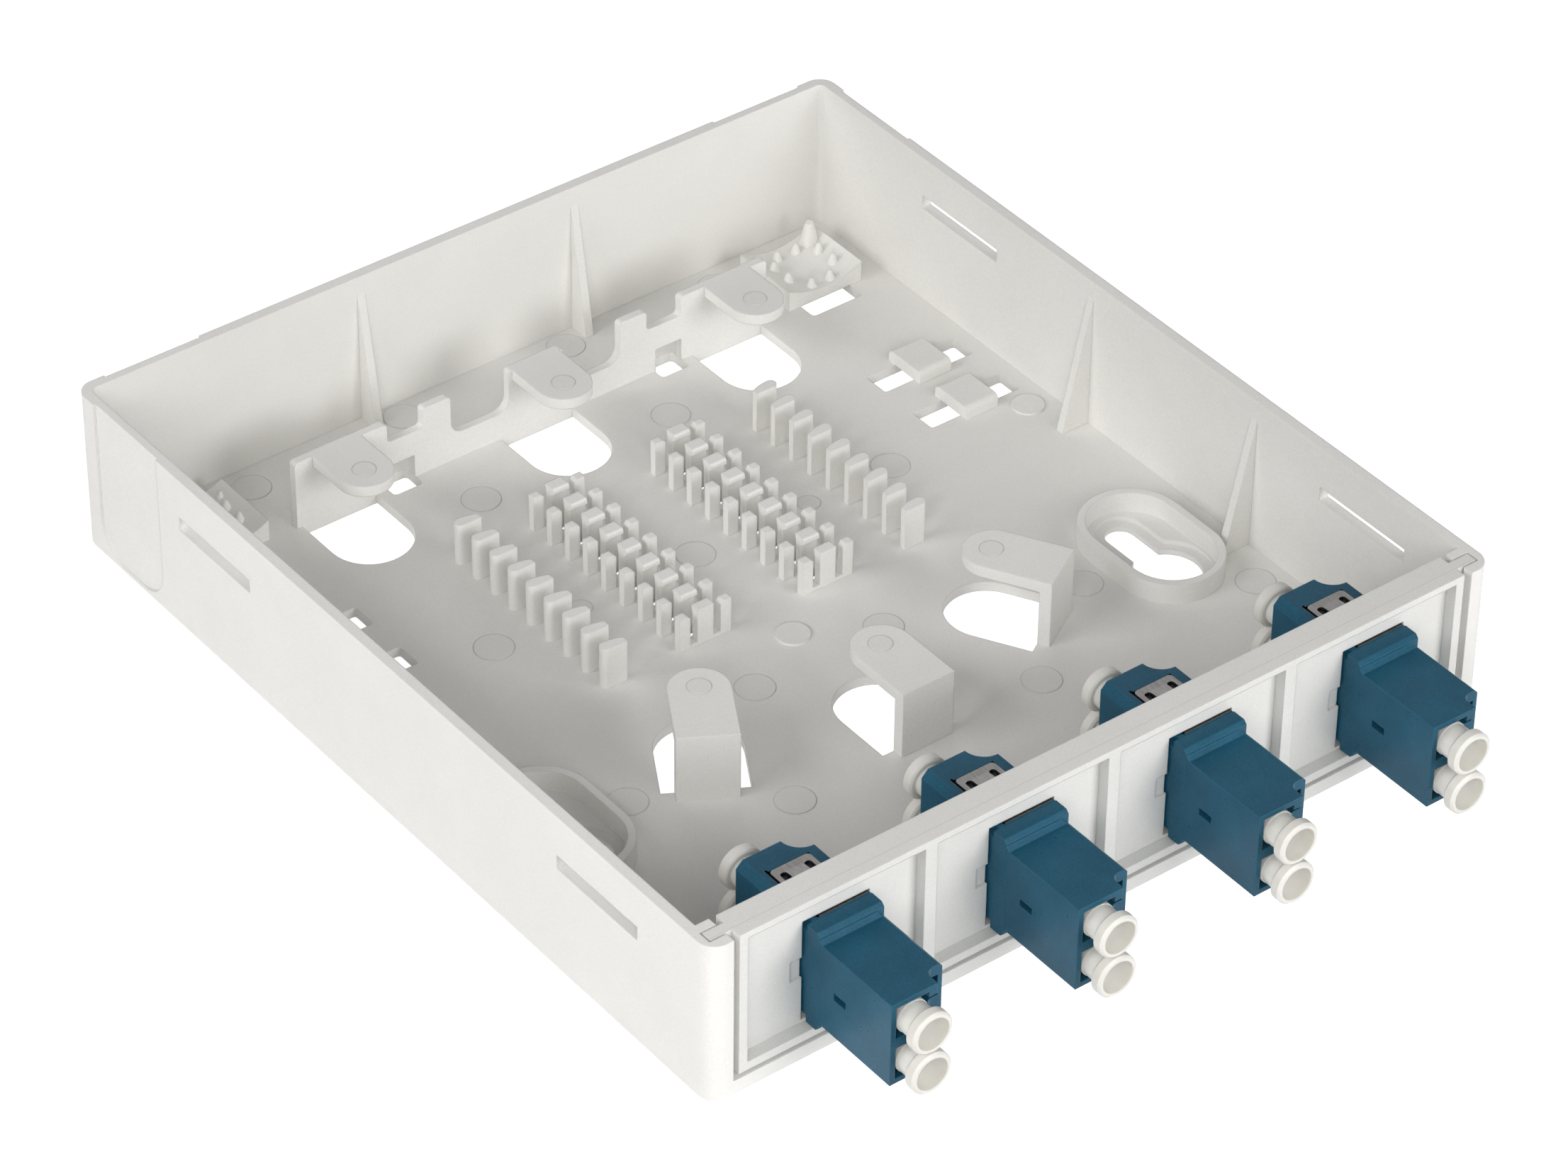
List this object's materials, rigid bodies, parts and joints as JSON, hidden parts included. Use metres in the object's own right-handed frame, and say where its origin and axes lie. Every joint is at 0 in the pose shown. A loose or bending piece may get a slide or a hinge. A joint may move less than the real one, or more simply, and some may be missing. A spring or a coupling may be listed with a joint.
{
  "type": "wall mount fibre patch box",
  "caption": "Open base of a wall mount fibre patch box with duplex adapters in the front plate and pull-off dust caps.",
  "frame": {"origin": "centre of the tray's flat back face, in the plane that goes against the wall", "axes": "+Z out of the wall towards the open side, -Y towards the adapters, +X to the right seen from the adapters"},
  "size_m": [0.122, 0.1552, 0.0245],
  "materials": {
    "tray_plastic": "satin moulded, warm off-white",
    "adapter_plastic": "moulded petrol blue",
    "cap_plastic": "smooth, warm white",
    "clip_steel": "rolled strip",
    "holder_plastic": "matte",
    "ceramic": "polished"
  },
  "bodies": {
    "base": {"tray": "tray_plastic"},
    "plate": {"adapter_plate": "tray_plastic", "adapter_front_shell_1": "adapter_plastic", "adapter_rear_shell_1": "adapter_plastic", "spring_clip_1": "clip_steel", "sleeve_holder_1": "holder_plastic", "ceramic_sleeve_upper_1": "ceramic", "ceramic_sleeve_lower_1": "ceramic", "adapter_front_shell_2": "adapter_plastic", "adapter_rear_shell_2": "adapter_plastic", "spring_clip_2": "clip_steel", "sleeve_holder_2": "holder_plastic", "ceramic_sleeve_upper_2": "ceramic", "ceramic_sleeve_lower_2": "ceramic", "adapter_front_shell_3": "adapter_plastic", "adapter_rear_shell_3": "adapter_plastic", "spring_clip_3": "clip_steel", "sleeve_holder_3": "holder_plastic", "ceramic_sleeve_upper_3": "ceramic", "ceramic_sleeve_lower_3": "ceramic", "adapter_front_shell_4": "adapter_plastic", "adapter_rear_shell_4": "adapter_plastic", "spring_clip_4": "clip_steel", "sleeve_holder_4": "holder_plastic", "ceramic_sleeve_upper_4": "ceramic", "ceramic_sleeve_lower_4": "ceramic"},
    "cap_front_upper_1": {"cap_front_upper_1": "cap_plastic"},
    "cap_front_lower_1": {"cap_front_lower_1": "cap_plastic"},
    "cap_rear_upper_1": {"cap_rear_upper_1": "cap_plastic"},
    "cap_rear_lower_1": {"cap_rear_lower_1": "cap_plastic"},
    "cap_front_upper_2": {"cap_front_upper_2": "cap_plastic"},
    "cap_front_lower_2": {"cap_front_lower_2": "cap_plastic"},
    "cap_rear_upper_2": {"cap_rear_upper_2": "cap_plastic"},
    "cap_rear_lower_2": {"cap_rear_lower_2": "cap_plastic"},
    "cap_front_upper_3": {"cap_front_upper_3": "cap_plastic"},
    "cap_front_lower_3": {"cap_front_lower_3": "cap_plastic"},
    "cap_rear_upper_3": {"cap_rear_upper_3": "cap_plastic"},
    "cap_rear_lower_3": {"cap_rear_lower_3": "cap_plastic"},
    "cap_front_upper_4": {"cap_front_upper_4": "cap_plastic"},
    "cap_front_lower_4": {"cap_front_lower_4": "cap_plastic"},
    "cap_rear_upper_4": {"cap_rear_upper_4": "cap_plastic"},
    "cap_rear_lower_4": {"cap_rear_lower_4": "cap_plastic"}
  },
  "joints": [
    {"name": "plate_lift", "type": "slide", "parent": "base", "child": "plate", "axis": [0, 0, 1], "range_m": [0, 0.03]},
    {"name": "cap_front_upper_1_pull", "type": "slide", "parent": "plate", "child": "cap_front_upper_1", "axis": [0, -1, 0], "range_m": [0, 0.009]},
    {"name": "cap_front_lower_1_pull", "type": "slide", "parent": "plate", "child": "cap_front_lower_1", "axis": [0, -1, 0], "range_m": [0, 0.009]},
    {"name": "cap_rear_upper_1_pull", "type": "slide", "parent": "plate", "child": "cap_rear_upper_1", "axis": [0, 1, 0], "range_m": [0, 0.009]},
    {"name": "cap_rear_lower_1_pull", "type": "slide", "parent": "plate", "child": "cap_rear_lower_1", "axis": [0, 1, 0], "range_m": [0, 0.009]},
    {"name": "cap_front_upper_2_pull", "type": "slide", "parent": "plate", "child": "cap_front_upper_2", "axis": [0, -1, 0], "range_m": [0, 0.009]},
    {"name": "cap_front_lower_2_pull", "type": "slide", "parent": "plate", "child": "cap_front_lower_2", "axis": [0, -1, 0], "range_m": [0, 0.009]},
    {"name": "cap_rear_upper_2_pull", "type": "slide", "parent": "plate", "child": "cap_rear_upper_2", "axis": [0, 1, 0], "range_m": [0, 0.009]},
    {"name": "cap_rear_lower_2_pull", "type": "slide", "parent": "plate", "child": "cap_rear_lower_2", "axis": [0, 1, 0], "range_m": [0, 0.009]},
    {"name": "cap_front_upper_3_pull", "type": "slide", "parent": "plate", "child": "cap_front_upper_3", "axis": [0, -1, 0], "range_m": [0, 0.009]},
    {"name": "cap_front_lower_3_pull", "type": "slide", "parent": "plate", "child": "cap_front_lower_3", "axis": [0, -1, 0], "range_m": [0, 0.009]},
    {"name": "cap_rear_upper_3_pull", "type": "slide", "parent": "plate", "child": "cap_rear_upper_3", "axis": [0, 1, 0], "range_m": [0, 0.009]},
    {"name": "cap_rear_lower_3_pull", "type": "slide", "parent": "plate", "child": "cap_rear_lower_3", "axis": [0, 1, 0], "range_m": [0, 0.009]},
    {"name": "cap_front_upper_4_pull", "type": "slide", "parent": "plate", "child": "cap_front_upper_4", "axis": [0, -1, 0], "range_m": [0, 0.009]},
    {"name": "cap_front_lower_4_pull", "type": "slide", "parent": "plate", "child": "cap_front_lower_4", "axis": [0, -1, 0], "range_m": [0, 0.009]},
    {"name": "cap_rear_upper_4_pull", "type": "slide", "parent": "plate", "child": "cap_rear_upper_4", "axis": [0, 1, 0], "range_m": [0, 0.009]},
    {"name": "cap_rear_lower_4_pull", "type": "slide", "parent": "plate", "child": "cap_rear_lower_4", "axis": [0, 1, 0], "range_m": [0, 0.009]}
  ]
}
